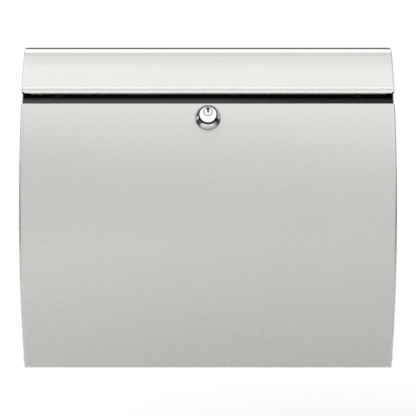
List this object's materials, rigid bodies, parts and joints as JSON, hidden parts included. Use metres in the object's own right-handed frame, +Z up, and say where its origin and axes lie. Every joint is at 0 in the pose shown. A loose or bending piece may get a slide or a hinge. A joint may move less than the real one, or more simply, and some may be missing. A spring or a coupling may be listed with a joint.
{
  "type": "wall letterbox",
  "caption": "Wall-hung stainless letterbox: curved bottom-hinged door with a cam lock, lift-up flap over the letter slot, dark folded housing for screwing to a wall.",
  "frame": {"origin": "centre of the four wall-fixing holes, on the wall plane (the outer face of the back)", "axes": "+Z up, the front faces -Y, +X to the right of someone looking at the front"},
  "size_m": [0.3714, 0.104, 0.323],
  "materials": {
    "stainless": "satin stainless sheet, fine brushed",
    "powder_coat": "fine-textured charcoal powder coat",
    "lock_chrome": "bright chrome plate",
    "zinc": "bright zinc plate",
    "spring_steel": "spring steel, oiled",
    "wafer_brass": "stamped brass",
    "nylon": "natural nylon",
    "rubber": "matte black rubber"
  },
  "bodies": {
    "housing": {"back_shell": "powder_coat", "side_left": "powder_coat", "side_right": "powder_coat", "front_rail": "powder_coat", "letter_guard": "powder_coat", "rail_rivets": "zinc", "guard_rivets": "zinc", "flap_pivots": "zinc", "door_pivots": "zinc", "flap_buffers": "rubber", "door_buffers": "rubber"},
    "flap": {"flap_panel": "stainless", "flap_bushes": "nylon"},
    "door": {"door_panel": "stainless", "door_bushes": "nylon", "lock_bezel": "lock_chrome", "lock_barrel": "lock_chrome", "lock_clip": "spring_steel"},
    "lock_core": {"lock_plug": "lock_chrome", "lock_wafers": "wafer_brass", "lock_cam": "zinc", "cam_washer": "zinc", "cam_screw": "zinc"}
  },
  "joints": [
    {"name": "flap_hinge", "type": "hinge", "parent": "housing", "child": "flap", "pos_m": [0, -0.012, 0.153], "axis": [-1, 0, 0], "range_deg": [0, 72]},
    {"name": "door_hinge", "type": "hinge", "parent": "housing", "child": "door", "pos_m": [0, -0.05022, -0.1515], "axis": [1, 0, 0], "range_deg": [0, 90]},
    {"name": "lock_turn", "type": "hinge", "parent": "door", "child": "lock_core", "pos_m": [0, -0.08946, 0.09136], "axis": [0, 0.9536, -0.301], "range_deg": [0, 90]}
  ]
}
